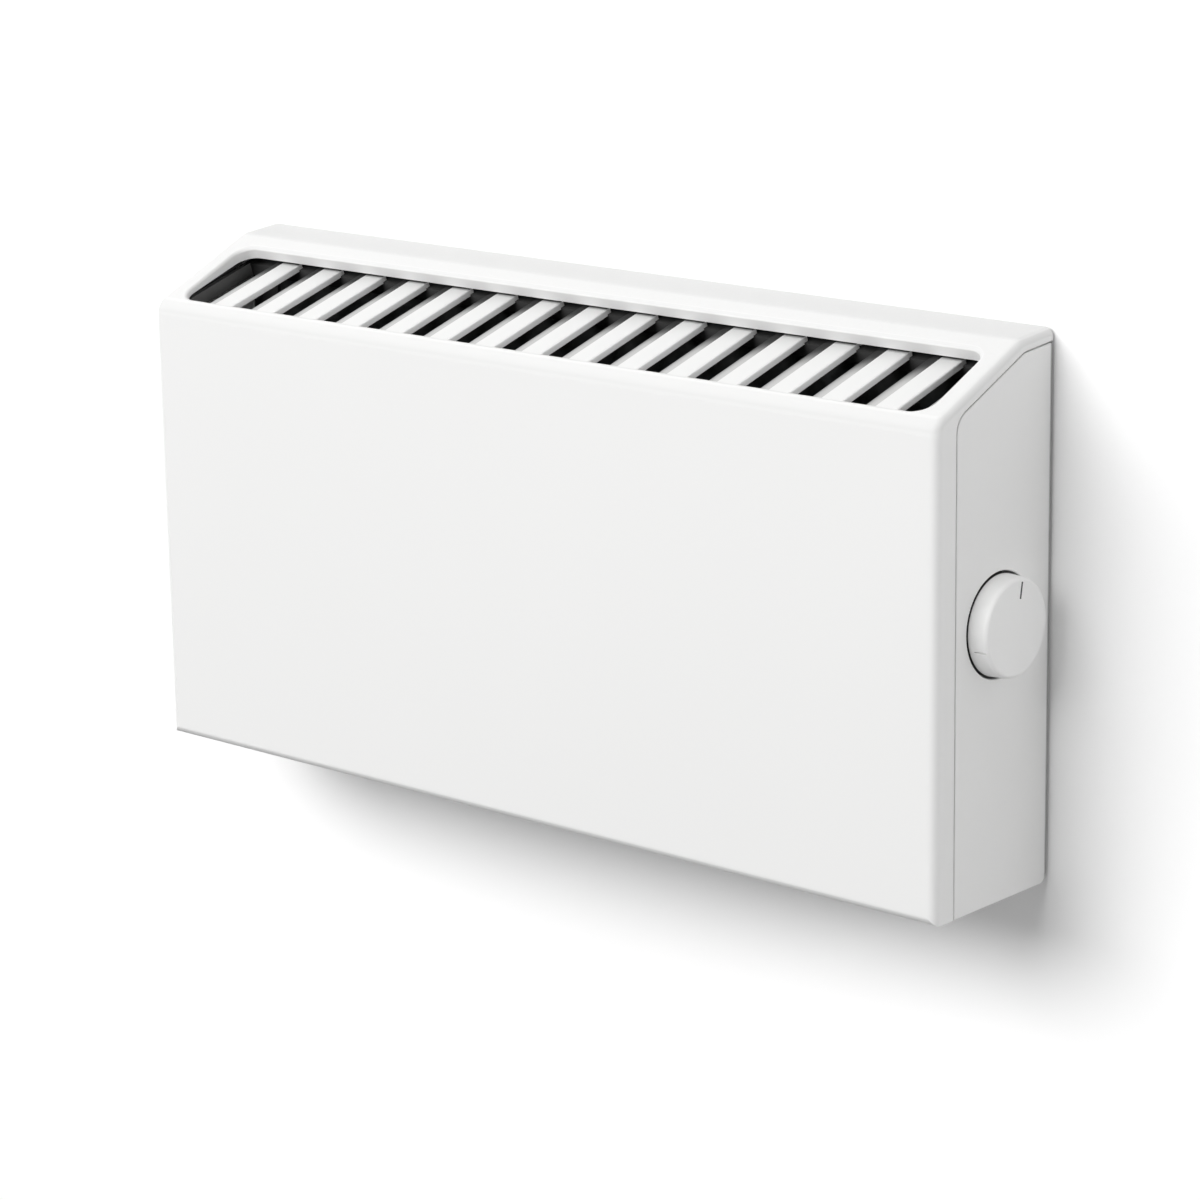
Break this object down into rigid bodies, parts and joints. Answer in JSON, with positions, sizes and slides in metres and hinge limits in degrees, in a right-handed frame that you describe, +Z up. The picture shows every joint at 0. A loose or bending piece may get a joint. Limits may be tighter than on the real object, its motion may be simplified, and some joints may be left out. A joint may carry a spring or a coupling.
{
  "type": "wall panel heater",
  "caption": "Slim white wall-hung electric panel heater with a sloped louvred air outlet at the top and a round thermostat knob on its right side.",
  "frame": {"origin": "centre of the bracket's four wall screws, on the wall plane, at mid width and mid height", "axes": "+X to the right seen from the room, along the width; +Y into the wall; +Z up"},
  "size_m": [0.4912, 0.0835, 0.252],
  "materials": {
    "white_casing": "satin white",
    "white_grille": "satin white",
    "white_knob": "satin white",
    "grey_mark": "dark grey print",
    "galvanised_sheet": "galvanised sheet steel",
    "painted_bracket": "white powder coat",
    "black_rubber": "matt black",
    "element_aluminium": "bare aluminium",
    "sheath_steel": "bare steel",
    "ceramic": "glazed ceramic",
    "copper": "copper",
    "brass_tab": "bare brass",
    "dark_plastic": "black moulding",
    "pale_plastic": "natural moulding",
    "zinc_screw": "zinc plated",
    "brown_wire": "brown insulation",
    "blue_wire": "blue insulation",
    "green_wire": "green insulation"
  },
  "bodies": {
    "heater": {"back_panel": "galvanised_sheet", "back_panel_screws": "zinc_screw", "bottom_panel": "white_casing", "cable_grommet": "black_rubber", "cover_screws": "zinc_screw", "cutout_screws": "zinc_screw", "cutout_tab_left": "brass_tab", "cutout_tab_right": "brass_tab", "earth_screw": "zinc_screw", "element_bushing_left": "ceramic", "element_bushing_right": "ceramic", "element_pin_left": "sheath_steel", "element_pin_right": "sheath_steel", "element_sheath": "sheath_steel", "element_support_left": "galvanised_sheet", "element_support_right": "galvanised_sheet", "end_panel_left": "white_casing", "end_panel_right": "white_casing", "front_cover": "white_casing", "grille_screws": "zinc_screw", "heat_shield": "galvanised_sheet", "heating_element": "element_aluminium", "inner_support_screws": "zinc_screw", "outlet_grille": "white_grille", "sensor_clip": "pale_plastic", "terminal_block": "pale_plastic", "terminal_block_screws": "zinc_screw", "terminal_clamps": "brass_tab", "thermal_cutout": "dark_plastic", "thermostat_body": "dark_plastic", "thermostat_bracket": "galvanised_sheet", "thermostat_screws": "zinc_screw", "thermostat_sensor": "copper", "thermostat_tab_feed": "brass_tab", "thermostat_tab_switched": "brass_tab", "wall_bracket": "painted_bracket", "wall_spacers": "black_rubber", "wire_earth": "green_wire", "wire_element": "brown_wire", "wire_feed": "brown_wire", "wire_neutral": "blue_wire", "wire_switched": "brown_wire"},
    "knob": {"control_knob": "white_knob", "knob_index": "grey_mark", "thermostat_shaft": "sheath_steel"}
  },
  "joints": [
    {"name": "knob_turn", "type": "hinge", "parent": "heater", "child": "knob", "pos_m": [0.241, -0.0381, 0.0006], "axis": [1, 0, 0], "range_deg": [-140, 140]}
  ]
}
